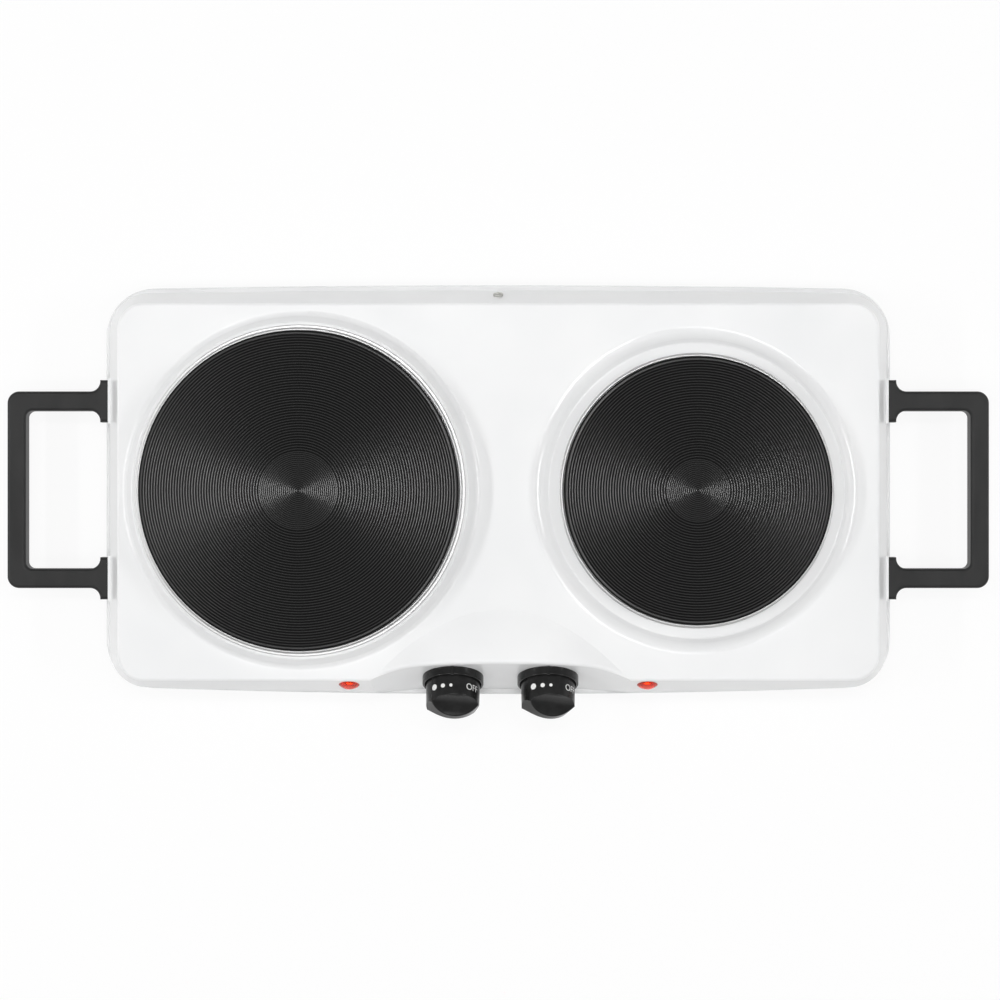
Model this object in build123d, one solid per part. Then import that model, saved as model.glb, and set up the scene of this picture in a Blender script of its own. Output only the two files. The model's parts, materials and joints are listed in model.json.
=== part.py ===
from build123d import *
import os
from math import cos, radians, sin, tan

# A double electric hot plate: an enamelled sheet-steel housing with two raised pedestals that carry
# cast-iron plates, and a slanted control face under a visor hood. Sizes are in millimetres and degrees.
# Y = 0 is the line through both plate centres while the pieces are made; the finished assembly is then
# moved back so that its origin lies under the middle of its footprint, with the feet standing on Z = 0.

# Housing
sheet = 1.0
hem_bottom_z = 12.0
hem_height = 3.0
hem_side = 4.85
hem_front = 2.1
hem_rear = 4.2
hem_round = 1.4
band_slope = 24.0
top_z = 46.0
shoulder_side_margin = 4.4
shoulder_front_margin = 7.9
shoulder_rear_margin = 6.4
shoulder_corner = 15.0
shoulder_round = 2.0
flare_side = 7.55
flare_front = 4.4
flare_rear = 7.0
skirt_corner = 24.0
front_bow = 4.7
rear_bow = 2.6

# Pedestals
plate_spacing = 230.4
plate_line_y = 5.5
pedestal_rise = 8.5
pedestal_run = 5.0
pedestal_edge_round = 1.2
large_pedestal_margin = 5.5
large_pedestal_blend = 4.0
small_pedestal_margin = 8.5
small_pedestal_blend = 8.0

# Control face and the visor hood above it
control_x = 1.3
panel_tilt = 26.0
panel_set_back = 1.1
panel_flat_half = 47.0
panel_sweep_radius = 70.0
panel_sweep_reach = 45.0
hood_radius = 300.0
hood_slope = 13.5
hood_apex = 69.9
hood_front_inset = 0.4
ridge_round = 2.0

# Hot plates and their spill rings
large_plate_radius = 92.5
small_plate_radius = 77.5
plate_rise = 9.5
plate_web = 6.0
plate_edge_chamfer = 1.2
plate_cup_inset = 8.5
plate_cup_wall = 4.0
plate_cup_depth = 10.7
plate_zone_groove = 0.5
large_zone_radius = 22.0
small_zone_radius = 17.5
ring_sheet = 1.2
ring_lip = 1.5
ring_gap = 0.2
ring_seat = 4.5
large_ring_reach = 3.8
small_ring_reach = 2.3
opening_clearance = 2.0

# Heater inside each plate
insulation_depth = 6.0
heater_clearance = 0.3
coil_section = 4.0
coil_pitch = 13.0
coil_start_radius = 20.0
cover_sheet = 0.8
terminal_length = 34.0
terminal_width = 14.0
terminal_height = 9.0
terminal_offset = 32.0
pin_radius = 1.6
pin_length = 9.0
pin_pitch = 10.0

# Clamp that holds each plate down
stud_radius = 3.0
stud_clearance = 0.2
bar_sheet = 2.0
bar_width = 18.0
bar_rise = 18.0
bar_foot = 16.0
large_bar_half = 75.0
small_bar_half = 62.0
washer_radius = 7.0
washer_sheet = 1.4
nut_width = 10.0
nut_height = 5.0
stud_tail = 2.5

# Base, feet and screws
base_sheet = 1.2
base_clearance = 0.3
vent_length = 52.0
vent_width = 5.0
vent_pitch = 14.0
vent_count = 4
vent_offset = 22.0
foot_radius = 12.0
foot_taper = 2.0
foot_inset_x = 36.0
foot_inset_y = 30.0
foot_bore_radius = 4.6
screw_radius = 2.0
screw_head_radius = 3.8
screw_head_height = 2.2
screw_grip = 6.0
tab_width = 20.0
tab_gap = 0.2
tab_set_in = 3.1
tab_above_screw = 6.0
rear_screw_z = 33.0
small_screw_radius = 1.5
small_head_radius = 2.9
small_head_height = 1.8
grommet_radius = 7.0
grommet_lip = 2.0
grommet_bore = 3.6
grommet_height = 7.0
grommet_x = 60.0
grommet_rear_margin = 24.4
mains_block_length = 46.0
mains_block_width = 17.0
mains_block_height = 13.0
mains_block_rear_margin = 32.4
mains_block_screw_pitch = 22.0
mains_bay_depth = 8.0
mains_bay_half = 4.0

# Handles
handle_centre_y = 0.5
handle_centre_z = 23.0
handle_span = 116.8
handle_reach = 60.0
handle_leg = 11.6
handle_grip = 11.0
handle_thickness = 12.0
handle_outer_round = 7.0
handle_inner_round = 4.0
handle_edge_round = 2.0
handle_foot_width = 25.0
handle_foot_sheet = 5.0
handle_foot_flare = 6.0
handle_screw_depth = 10.0
pad_margin = 1.0
pad_proud = 1.15
pad_top_z = 30.0

# Knobs and bezels
knob_spacing = 56.0
knob_slope_height = 19.9
bezel_radius = 18.0
bezel_inner_radius = 16.6
bezel_depth = 5.0
bezel_floor = 1.2
bezel_rib_width = 2.0
bezel_rib_proud = 0.6
knob_foot_radius = 16.05
knob_front_radius = 15.6
knob_lift = 1.7
knob_length = 25.2
knob_shoulder = 17.0
knob_wall = 1.8
knob_roof = 2.5
knob_hub_radius = 5.0
knob_head_clearance = 0.5
knob_blade_turn = -16.0
left_knob_rest = 3.0
right_knob_rest = -5.0
scoop_radius = 14.2
scoop_offset = 15.5
scoop_lift = 5.5

# Thermostats behind the control face
spindle_radius = 3.0
spindle_flat = 2.2
spindle_clearance = 0.05
spindle_tip = 13.0
spindle_overrun = 0.5
hole_clearance = 0.3
bushing_radius = 4.8
bushing_length = 6.8
frame_half_width = 15.0
frame_half_height = 10.5
frame_sheet = 1.2
frame_screw_offset = 7.5
frame_screw_tail = 4.0
stack_offset = 9.5
stack_width = 8.0
stack_height = 10.0
stack_layer = 1.5
blade_sheet = 0.5
blade_length = 25.0
blade_width = 6.0
blade_count = 3
blade_tip_gap = 0.25
contact_radius = 1.5
contact_height = 0.6

# Pilot lamps
lamp_spacing = 175.4
lamp_z = 38.6
lens_radius = 6.1
lens_rise = 2.5
lens_stem_radius = 4.0
lens_stem_bore = 3.2
lens_stem_length = 8.0
lens_seat = 0.05
holder_radius = 6.5
holder_length = 10.0
holder_cap = 1.5
bulb_radius = 2.6
bulb_length = 8.0

BASE = (Align.CENTER, Align.CENTER, Align.MIN)
HANGING = (Align.CENTER, Align.CENTER, Align.MAX)

hem_top_z = hem_bottom_z + hem_height
pedestal_z = top_z + pedestal_rise
plate_top_z = pedestal_z + plate_rise
plate_seat_z = pedestal_z + ring_sheet
cup_bottom_z = plate_seat_z - plate_cup_depth
base_top_z = hem_top_z - sheet
base_bottom_z = base_top_z - base_sheet
large_pedestal_radius = large_plate_radius + large_pedestal_margin
small_pedestal_radius = small_plate_radius + small_pedestal_margin
pedestal_foot = large_pedestal_radius + pedestal_run
shoulder_half_width = plate_spacing / 2 + pedestal_foot + shoulder_side_margin
shoulder_front = pedestal_foot + shoulder_front_margin
shoulder_rear = pedestal_foot + shoulder_rear_margin
skirt_half_width = shoulder_half_width + flare_side
skirt_front = shoulder_front + flare_front
skirt_rear = shoulder_rear + flare_rear
grommet_y = skirt_rear - grommet_rear_margin
mains_block_y = skirt_rear - mains_block_rear_margin
large_x = -plate_spacing / 2
small_x = plate_spacing / 2


def block(low, high):
    """A box between two corners."""
    size = [b - a for a, b in zip(low, high)]
    return Pos(*low) * Box(*size, align=(Align.MIN, Align.MIN, Align.MIN))


def disc(radius, low, high, x=0.0, y=0.0):
    """An upright cylinder between two heights."""
    return Pos(x, y, low) * Cylinder(radius, high - low, align=BASE)


def turned(points):
    """A solid of revolution about Z from (radius, height) points."""
    profile = make_face(Polyline(*points, close=True))
    return revolve(Plane.XZ * profile, Axis.Z)


def rim_outline(half_width, front, rear, corner, bow_ahead, bow_behind):
    """A rounded rectangle whose front and rear sides may bow outward."""
    left_front, right_front = (-half_width, -front), (half_width, -front)
    right_rear, left_rear = (half_width, rear), (-half_width, rear)
    if bow_ahead > 0:
        front_side = ThreePointArc(left_front, (0, -front - bow_ahead), right_front)
    else:
        front_side = Line(left_front, right_front)
    if bow_behind > 0:
        rear_side = ThreePointArc(right_rear, (0, rear + bow_behind), left_rear)
    else:
        rear_side = Line(right_rear, left_rear)
    sides = [front_side, Line(right_front, right_rear), rear_side, Line(left_rear, left_front)]
    face = make_face(sides)
    return fillet(face.vertices(), corner)


def shoulder_outline(inset):
    return rim_outline(shoulder_half_width - inset, shoulder_front - inset, shoulder_rear - inset,
                       shoulder_corner - inset, 0, 0)


def skirt_outline(outset):
    return rim_outline(skirt_half_width + outset, skirt_front + outset, skirt_rear + outset,
                       skirt_corner + outset, front_bow, rear_bow)


def hem_outline(inset):
    return rim_outline(skirt_half_width + hem_side - inset, skirt_front + hem_front - inset,
                       skirt_rear + hem_rear - inset, skirt_corner + hem_side - inset, front_bow, rear_bow)


# Control face: a plane that leans back from the foot of the front skirt, a little right of the middle.
panel_up = Vector(0, sin(radians(panel_tilt)), cos(radians(panel_tilt)))
panel_out = Vector(0, -cos(radians(panel_tilt)), sin(radians(panel_tilt)))
panel_foot = Vector(control_x, -skirt_front - front_bow + panel_set_back, hem_top_z)


def panel_cutter(inset):
    """Everything in front of the control face: flat in the middle, sweeping forward at both sides."""
    radius = panel_sweep_radius + inset
    far = panel_flat_half + panel_sweep_reach
    drop = radius - (radius ** 2 - panel_sweep_reach ** 2) ** 0.5
    clear = 3 * drop
    flat = Line((-panel_flat_half, 0), (panel_flat_half, 0))
    right = TangentArc((panel_flat_half, 0), (far, -drop), tangent=(1, 0))
    left = TangentArc((-panel_flat_half, 0), (-far, -drop), tangent=(-1, 0))
    outside = Polyline((far, -drop), (far, -clear), (-far, -clear), (-far, -drop))
    plane = Plane(panel_foot - panel_out * inset, x_dir=(1, 0, 0), z_dir=panel_up)
    return extrude(plane * make_face([flat, right, outside, left]), amount=2 * top_z, both=True)


def hood(inset):
    """The visor: a wide cylinder that rises out of the top towards the control face."""
    along = Vector(0, -cos(radians(hood_slope)), sin(radians(hood_slope)))
    up = Vector(0, sin(radians(hood_slope)), cos(radians(hood_slope)))
    axis_point = Vector(control_x, -hood_apex, top_z) - up * hood_radius
    plane = Plane(axis_point, x_dir=(1, 0, 0), z_dir=along)
    roll = plane * Cylinder(hood_radius - inset, 4 * hood_apex)
    front = hood_front_inset - shoulder_front + inset
    keep = block((-shoulder_half_width / 2, front, top_z - 2 * sheet),
                 (shoulder_half_width / 2, 0, plate_top_z))
    return roll & keep


def pedestal(x, radius, inset):
    foot = radius + pedestal_run
    return Pos(x, 0, top_z - inset) * Cone(foot - inset, radius - inset, pedestal_rise, align=BASE)


def handle_pads(inset):
    """Upright pads pressed out of the side skirts as seats for the handle feet."""
    half = handle_foot_width / 2 + pad_margin - inset
    face = skirt_half_width + pad_proud - inset
    pads = []
    for side in (-1, 1):
        for end in (-1, 1):
            y = handle_centre_y + end * (handle_span - handle_leg) / 2
            x_low, x_high = sorted((side * face, side * (shoulder_half_width - 4 * sheet)))
            pad = block((x_low, y - half, hem_bottom_z + sheet), (x_high, y + half, pad_top_z - inset))
            pads.append(pad)
    return pads


def lies_on_crest(edge):
    """True for the edges where the hood's top meets the control face."""
    middle = edge @ 0.5
    lean = (middle - panel_foot).dot(panel_out)
    curved = edge.geom_type != GeomType.LINE
    return curved and middle.Z > top_z - sheet and lean > -sheet / 10 and middle.Y < -hood_apex


def housing_form(inset):
    """The pressed form, outside (no inset) or inside the sheet: an upright apron, a sloping band, the top."""
    foot_z = hem_top_z - inset
    height = top_z - hem_top_z
    apron = extrude(Pos(0, 0, foot_z) * skirt_outline(-inset), height)
    spread = height * tan(radians(band_slope))
    band = extrude(Pos(0, 0, foot_z) * shoulder_outline(inset - spread), height, taper=band_slope)
    form = apron & band
    if inset == 0:
        rim = form.edges().filter_by_position(Axis.Z, top_z, top_z)
        form = fillet(rim, shoulder_round)
    for x, radius, blend in ((large_x, large_pedestal_radius, large_pedestal_blend),
                             (small_x, small_pedestal_radius, small_pedestal_blend)):
        form += pedestal(x, radius, inset)
        if inset == 0:
            circles = form.edges().filter_by(GeomType.CIRCLE)
            foot = circles.filter_by(lambda e: abs(e.radius - radius - pedestal_run) < 0.01)
            form = fillet(foot, blend)
            circles = form.edges().filter_by(GeomType.CIRCLE)
            rim = circles.filter_by(lambda e: abs(e.radius - radius) < 0.01)
            form = fillet(rim, pedestal_edge_round)
    cutter = panel_cutter(inset)
    visor = hood(inset) - cutter
    if inset == 0:
        visor = fillet(visor.edges().filter_by(lies_on_crest), ridge_round)
    form = form - cutter + visor
    hem_low = hem_bottom_z - inset
    hem = Pos(0, 0, hem_low) * extrude(hem_outline(inset), foot_z - hem_low)
    if inset == 0:
        hem = fillet(hem.edges().group_by(Axis.Z)[-1], hem_round)
    form += hem
    for pad in handle_pads(inset):
        form += pad
    return form


def panel_frame(x):
    """The control face at one knob: local X across, local Y up the slope, local Z outward."""
    origin = panel_foot + panel_up * knob_slope_height + Vector(x, 0, 0)
    return Plane(origin, x_dir=(1, 0, 0), z_dir=panel_out)


def band_frame(x, z, side):
    """A frame on the outside of the rear (1) or front (-1) band, local Y up the slope, local Z outward."""
    lean = radians(band_slope)
    crest = shoulder_rear if side > 0 else shoulder_front
    y = side * (crest + (top_z - z) * tan(lean))
    return Plane((x, y, z), x_dir=(-side, 0, 0), z_dir=(0, side * cos(lean), sin(lean)))


def lamp_frame(x):
    return band_frame(x, lamp_z, -1)


# The sloping band's inside is its outside moved in and down by one sheet.
band_wall = sheet * (cos(radians(band_slope)) + sin(radians(band_slope)))
rear_frame = band_frame(0, rear_screw_z, 1)
knob_places = {"left": -knob_spacing / 2, "right": knob_spacing / 2}
knob_turns = {"left": left_knob_rest + knob_blade_turn, "right": right_knob_rest + knob_blade_turn}
lamp_places = {"left": -lamp_spacing / 2, "right": lamp_spacing / 2}
plate_places = {"large": large_x, "small": small_x}
plate_radii = {"large": large_plate_radius, "small": small_plate_radius}
zone_radii = {"large": large_zone_radius, "small": small_zone_radius}
ring_reaches = {"large": large_ring_reach, "small": small_ring_reach}
bar_halves = {"large": large_bar_half, "small": small_bar_half}
handle_feet_y = [handle_centre_y + end * (handle_span - handle_leg) / 2 for end in (-1, 1)]
pad_face_x = skirt_half_width + pad_proud
handle_sides = {"left": -1, "right": 1}


def cup_radius(size):
    return plate_radii[size] - plate_cup_inset


def frame_screw_places():
    return [(0, -frame_screw_offset), (0, frame_screw_offset)]


def make_body_shell():
    shell = housing_form(0) - housing_form(sheet)
    for size, x in plate_places.items():
        shell -= disc(cup_radius(size) + opening_clearance, top_z, plate_top_z, x)
    screw_drill = Cylinder(small_screw_radius + hole_clearance, 6 * sheet)
    for x in knob_places.values():
        shell -= panel_frame(x) * Cylinder(spindle_radius + hole_clearance, 6 * sheet)
        for place in frame_screw_places():
            shell -= panel_frame(x) * Pos(*place, 0) * screw_drill
    for x in lamp_places.values():
        shell -= lamp_frame(x) * Cylinder(lens_stem_radius + hole_clearance, 6 * sheet)
    shell -= rear_frame * screw_drill
    for side in handle_sides.values():
        for y in handle_feet_y:
            drill = Cylinder(screw_radius + hole_clearance, 6 * sheet, rotation=(0, 90, 0))
            shell -= Pos(side * pad_face_x, y, handle_centre_z) * drill
    return shell


def foot_places():
    xs = skirt_half_width - foot_inset_x
    front, rear = foot_inset_y - skirt_front, skirt_rear - foot_inset_y
    return [(sx * xs, y) for sx in (-1, 1) for y in (front, rear)]


def bar_foot_places():
    reach = bar_foot / 2 + bar_sheet
    return [(x + end * (bar_halves[size] + reach), 0)
            for size, x in plate_places.items() for end in (-1, 1)]


def mains_screw_places():
    return [(end * mains_block_screw_pitch / 2, mains_block_y) for end in (-1, 1)]


def tab_face(depth, leg_y):
    """One face of the rear tab as (y, z): up from the base, bent over, and on along the sloping band."""
    tip = rear_frame.origin + rear_frame.y_dir * tab_above_screw - rear_frame.z_dir * depth
    bend_z = tip.Z - (leg_y - tip.Y) / tan(radians(band_slope))
    return [(leg_y, base_bottom_z), (leg_y, bend_z), (tip.Y, tip.Z)]


def make_rear_tab():
    """A strip bent up from the base plate; the rear screw holds it to the housing."""
    depth = band_wall + tab_gap
    leg_y = skirt_rear + rear_bow - tab_set_in
    outside = tab_face(depth, leg_y)
    inside = tab_face(depth + base_sheet, leg_y - base_sheet)
    section = make_face(Polyline(*outside, *reversed(inside), close=True))
    return extrude(Plane.YZ * section, tab_width / 2, both=True)


def make_base_plate():
    outline = hem_outline(sheet + base_clearance)
    plate = Pos(0, 0, base_bottom_z) * extrude(outline, base_sheet) + make_rear_tab()
    plate -= rear_frame * Cylinder(small_screw_radius, 8 * sheet)
    for x, y in foot_places() + bar_foot_places():
        plate -= disc(screw_radius, base_bottom_z - base_sheet, base_top_z + base_sheet, x, y)
    for x, y in mains_screw_places():
        plate -= disc(small_screw_radius, base_bottom_z - base_sheet, base_top_z + base_sheet, x, y)
    plate -= disc(grommet_radius - grommet_lip, base_bottom_z - base_sheet, base_top_z + base_sheet,
                  grommet_x, grommet_y)
    slot = SlotOverall(vent_length, vent_width)
    for x in plate_places.values():
        for side in (-1, 1):
            for row in range(vent_count):
                y = side * (vent_offset + row * vent_pitch)
                plate -= Pos(x, y, base_bottom_z - base_sheet) * extrude(slot, 3 * base_sheet)
    return plate


def make_hot_plate(size):
    """A cast plate with a downturned cup that holds the heater; its rim rests on the spill ring."""
    radius, zone = plate_radii[size], zone_radii[size]
    cup = cup_radius(size)
    web_z = plate_top_z - plate_web
    groove = plate_zone_groove
    plate = turned([
        (0, plate_top_z), (zone - groove, plate_top_z), (zone, plate_top_z - groove),
        (zone + groove, plate_top_z), (radius - plate_edge_chamfer, plate_top_z),
        (radius, plate_top_z - plate_edge_chamfer), (radius, plate_seat_z), (cup, plate_seat_z),
        (cup, cup_bottom_z), (cup - plate_cup_wall, cup_bottom_z), (cup - plate_cup_wall, web_z),
        (0, web_z)])
    return Pos(plate_places[size], 0, 0) * plate


def make_trim_ring(size):
    radius = plate_radii[size]
    outer = radius + ring_reaches[size]
    wall = radius + ring_gap
    ring = turned([
        (radius - ring_seat, pedestal_z), (outer, pedestal_z), (outer, pedestal_z + ring_sheet),
        (wall + ring_sheet, plate_seat_z + ring_lip), (wall, plate_seat_z + ring_lip),
        (wall, plate_seat_z), (radius - ring_seat, plate_seat_z)])
    return Pos(plate_places[size], 0, 0) * ring


def heater_radius(size):
    return cup_radius(size) - plate_cup_wall - heater_clearance


def make_insulation(size):
    x = plate_places[size]
    fill = disc(heater_radius(size), cup_bottom_z, cup_bottom_z + insulation_depth, x)
    return fill - disc(stud_radius + stud_clearance, cup_bottom_z, plate_top_z, x)


def make_heating_coil(size):
    """A flat spiral of half circles, the two centres a half pitch apart."""
    step = coil_pitch / 2
    arcs = []
    radius, end = coil_start_radius, Vector(coil_start_radius, 0)
    half_turns = int((heater_radius(size) - coil_section - coil_start_radius) / step)
    for turn in range(half_turns):
        side = 1 if turn % 2 == 0 else -1
        centre = Vector(end.X - side * radius, 0)
        middle = Vector(centre.X, side * radius)
        finish = Vector(centre.X - side * radius, 0)
        arcs.append(ThreePointArc(end, middle, finish))
        end = finish
        radius += step
    spiral = trace(Wire(arcs), coil_section)
    return Pos(plate_places[size], 0, cup_bottom_z + insulation_depth) * extrude(spiral, coil_section)


def make_plate_cover(size):
    x = plate_places[size]
    cover = disc(cup_radius(size), cup_bottom_z - cover_sheet, cup_bottom_z, x)
    return cover - disc(stud_radius + stud_clearance, 0, plate_top_z, x)


def pin_places(size):
    x = plate_places[size]
    return [(x + k * pin_pitch, terminal_offset) for k in (-1, 0, 1)]


def make_terminal_block(size):
    top = cup_bottom_z - cover_sheet
    x = plate_places[size]
    body = block((x - terminal_length / 2, terminal_offset - terminal_width / 2, top - terminal_height),
                 (x + terminal_length / 2, terminal_offset + terminal_width / 2, top))
    body = fillet(body.edges().filter_by(Axis.Z), terminal_width / 4)
    for px, py in pin_places(size):
        body -= disc(pin_radius, top - 2 * terminal_height, top, px, py)
    return body


def make_terminal_pins():
    top = cup_bottom_z - cover_sheet
    low = top - terminal_height - pin_length
    return [disc(pin_radius, low, top, px, py) for size in plate_places for px, py in pin_places(size)]


bar_top_z = base_top_z + bar_rise


def make_clamp_bar(size):
    """A hat-shaped strip that stands on the base and carries the plate's stud."""
    half = bar_halves[size]
    low, high = base_top_z, bar_top_z
    tip = half + bar_sheet + bar_foot
    section = make_face(Polyline(
        (-tip, low), (-half, low), (-half, high - bar_sheet), (half, high - bar_sheet), (half, low),
        (tip, low), (tip, low + bar_sheet), (half + bar_sheet, low + bar_sheet), (half + bar_sheet, high),
        (-half - bar_sheet, high), (-half - bar_sheet, low + bar_sheet), (-tip, low + bar_sheet),
        close=True))
    bar = extrude(Plane.XZ * section, bar_width / 2, both=True)
    bar -= disc(stud_radius + stud_clearance, low, high + bar_sheet)
    for end in (-1, 1):
        hole_x = end * (half + bar_sheet + bar_foot / 2)
        bar -= disc(screw_radius, low - bar_sheet, low + 2 * bar_sheet, hole_x)
    return Pos(plate_places[size], 0, 0) * bar


nut_top_z = bar_top_z - bar_sheet - washer_sheet


def make_plate_studs():
    low = nut_top_z - nut_height - stud_tail
    return [disc(stud_radius, low, plate_top_z - plate_web, x) for x in plate_places.values()]


def make_clamp_washers():
    bore = stud_radius + stud_clearance
    return [disc(washer_radius, nut_top_z, nut_top_z + washer_sheet, x) - disc(bore, 0, plate_top_z, x)
            for x in plate_places.values()]


def make_clamp_nuts():
    hexagon = RegularPolygon(nut_width / 2, 6, major_radius=False)
    nut = extrude(hexagon, nut_height) - Cylinder(stud_radius, 3 * nut_height)
    return [Pos(x, 0, nut_top_z - nut_height) * nut for x in plate_places.values()]


def pan_screw(radius, head_radius, head_height, grip):
    """A pan-head screw: head above Z = 0 with a sloping rim, shank below."""
    slope = head_height / 2
    return turned([(0, -grip), (radius, -grip), (radius, 0), (head_radius, 0), (head_radius, slope),
                   (head_radius - slope, head_height), (0, head_height)])


def make_rubber_feet():
    seat = base_bottom_z
    foot = turned([
        (screw_radius, seat), (foot_radius, seat), (foot_radius - foot_taper, 0), (foot_bore_radius, 0),
        (foot_bore_radius, seat / 2), (screw_radius, seat / 2)])
    return [Pos(x, y, 0) * foot for x, y in foot_places()]


def make_foot_screws():
    grip = base_bottom_z / 2 + base_sheet + screw_grip
    screw = Rot(180, 0, 0) * pan_screw(screw_radius, screw_head_radius, screw_head_height, grip)
    return [Pos(x, y, base_bottom_z / 2) * screw for x, y in foot_places()]


def make_base_screws():
    grip = base_sheet + bar_sheet + screw_grip / 2
    screw = Rot(180, 0, 0) * pan_screw(screw_radius, screw_head_radius, screw_head_height, grip)
    return [Pos(x, y, base_bottom_z) * screw for x, y in bar_foot_places()]


def make_rear_screw():
    return rear_frame * pan_screw(small_screw_radius, small_head_radius, small_head_height, screw_grip)


def make_cord_grommet():
    neck = grommet_radius - grommet_lip
    side = (grommet_height - base_sheet) / 2
    low, high = base_bottom_z - side, base_top_z + side
    grommet = turned([
        (grommet_bore, low), (grommet_radius - grommet_lip / 2, low), (grommet_radius, base_bottom_z),
        (neck, base_bottom_z), (neck, base_top_z), (grommet_radius, base_top_z),
        (grommet_radius - grommet_lip / 2, high), (grommet_bore, high)])
    return Pos(grommet_x, grommet_y, 0) * grommet


def make_mains_terminal_block():
    low, high = base_top_z, base_top_z + mains_block_height
    half_x, half_y = mains_block_length / 2, mains_block_width / 2
    body = block((-half_x, mains_block_y - half_y, low), (half_x, mains_block_y + half_y, high))
    bay_floor = high - mains_bay_depth
    reach = mains_bay_half
    for k in (-1, 0, 1):
        x = k * mains_block_length / 3
        for end in (-1, 1):
            y = mains_block_y + end * half_y
            body -= block((x - reach, y - reach, bay_floor), (x + reach, y + reach, high))
    for x, y in mains_screw_places():
        body -= disc(small_screw_radius, low, high, x, y)
    return body


def make_terminal_block_screws():
    grip = mains_block_height + base_sheet
    screw = pan_screw(small_screw_radius, small_head_radius, small_head_height, grip)
    return [Pos(x, y, base_top_z + mains_block_height) * screw for x, y in mains_screw_places()]


def make_handle(side):
    """A moulded U: two legs and a grip, with flared feet that seat on the housing's pads."""
    outer, inner = handle_span / 2, handle_span / 2 - handle_leg
    foot_mid = (outer + inner) / 2
    foot_out, foot_in = foot_mid + handle_foot_width / 2, foot_mid - handle_foot_width / 2
    foot, reach, grip = handle_foot_sheet, handle_reach, handle_reach - handle_grip
    outside = [(0, foot_out), (foot, foot_out), (foot, outer), (reach, outer)]
    inside = [(grip, inner), (foot, inner), (foot, foot_in), (0, foot_in)]
    points = (outside + [(x, -y) for x, y in reversed(outside)]
              + [(x, -y) for x, y in reversed(inside)] + inside)
    face = make_face(Polyline(*points, close=True))
    for x, y, radius in ((reach, outer, handle_outer_round), (grip, inner, handle_inner_round),
                         (foot, outer, handle_foot_flare), (foot, inner, handle_foot_flare)):
        corners = face.vertices().filter_by(lambda v: abs(v.X - x) < 0.01 and abs(abs(v.Y) - y) < 0.01)
        face = fillet(corners, radius)
    handle = extrude(face, handle_thickness / 2, both=True)
    rims = handle.edges().group_by(Axis.Z)
    free = [e for e in rims[0] + rims[-1] if e.center().X > foot / 4]
    handle = fillet(free, handle_edge_round)
    for end in (-1, 1):
        hole = Cylinder(screw_radius, handle_screw_depth, align=BASE, rotation=(0, 90, 0))
        handle -= Pos(0, end * foot_mid, 0) * hole
    turn = 0 if side > 0 else 180
    return Pos(side * pad_face_x, handle_centre_y, handle_centre_z) * Rot(0, 0, turn) * handle


def make_handle_screws():
    grip = sheet + handle_screw_depth - hole_clearance
    screw = pan_screw(screw_radius, screw_head_radius, screw_head_height, grip)
    screws = []
    for side in handle_sides.values():
        for y in handle_feet_y:
            place = Pos(side * (pad_face_x - sheet), y, handle_centre_z)
            screws.append(place * Rot(0, -90 * side, 0) * screw)
    return screws


def make_knob_bezel(x):
    hole = spindle_radius + hole_clearance
    bezel = turned([
        (hole, 0), (bezel_radius, 0), (bezel_radius, bezel_depth), (bezel_inner_radius, bezel_depth),
        (bezel_inner_radius, bezel_floor), (hole, bezel_floor)])
    rib = block((-bezel_rib_width / 2, (bezel_inner_radius + bezel_radius) / 2, 0),
                (bezel_rib_width / 2, bezel_radius + bezel_rib_proud, bezel_depth + bezel_rib_proud))
    bezel += rib
    for place in frame_screw_places():
        bezel -= Pos(*place, 0) * Cylinder(small_screw_radius + hole_clearance, 4 * bezel_floor)
    return panel_frame(x) * bezel


def spindle_section(clearance):
    """A round shaft with one flat."""
    radius = spindle_radius + clearance
    low = -spindle_flat - clearance
    keep = Pos(0, (radius + low) / 2) * Rectangle(2 * radius, radius - low)
    return Circle(radius) & keep


spindle_end = -(sheet + frame_sheet + bushing_length + spindle_overrun)
knob_hub_lift = bezel_floor + small_head_height + knob_head_clearance


def turning_frame(hand):
    """The control face at one knob, turned as far as the knob is at rest."""
    return panel_frame(knob_places[hand]) * Rot(0, 0, knob_turns[hand])


def make_thermostat_spindle(hand):
    round_part = Pos(0, 0, spindle_end) * Cylinder(spindle_radius, knob_lift - spindle_end, align=BASE)
    flat_part = Pos(0, 0, knob_lift) * extrude(spindle_section(0), spindle_tip - knob_lift)
    return turning_frame(hand) * (round_part + flat_part)


def make_knob(hand):
    """A hollow moulded knob; two hollows scooped from its arched front leave a grip blade between them."""
    body = turned([(0, knob_lift), (knob_foot_radius, knob_lift), (knob_front_radius, knob_length),
                   (0, knob_length)])
    sag = knob_length - knob_shoulder
    arch_radius = (knob_front_radius ** 2 + sag ** 2) / (2 * sag)
    arch = Cylinder(arch_radius, 4 * knob_foot_radius, rotation=(90, 0, 0))
    body &= Pos(0, 0, knob_length - arch_radius) * arch
    scoop = Cylinder(scoop_radius, 4 * knob_foot_radius, rotation=(0, 90, 0))
    for side in (-1, 1):
        body -= Pos(0, side * scoop_offset, knob_length + scoop_lift) * scoop
    roof = knob_length + scoop_lift - scoop_radius - knob_roof
    wall = knob_foot_radius - knob_wall
    body -= turned([(0, 0), (wall, 0), (wall - (knob_foot_radius - knob_front_radius), roof),
                    (knob_hub_radius, roof), (knob_hub_radius, knob_hub_lift), (0, knob_hub_lift)])
    body -= extrude(spindle_section(spindle_clearance), spindle_tip + hole_clearance)
    return turning_frame(hand) * body


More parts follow.
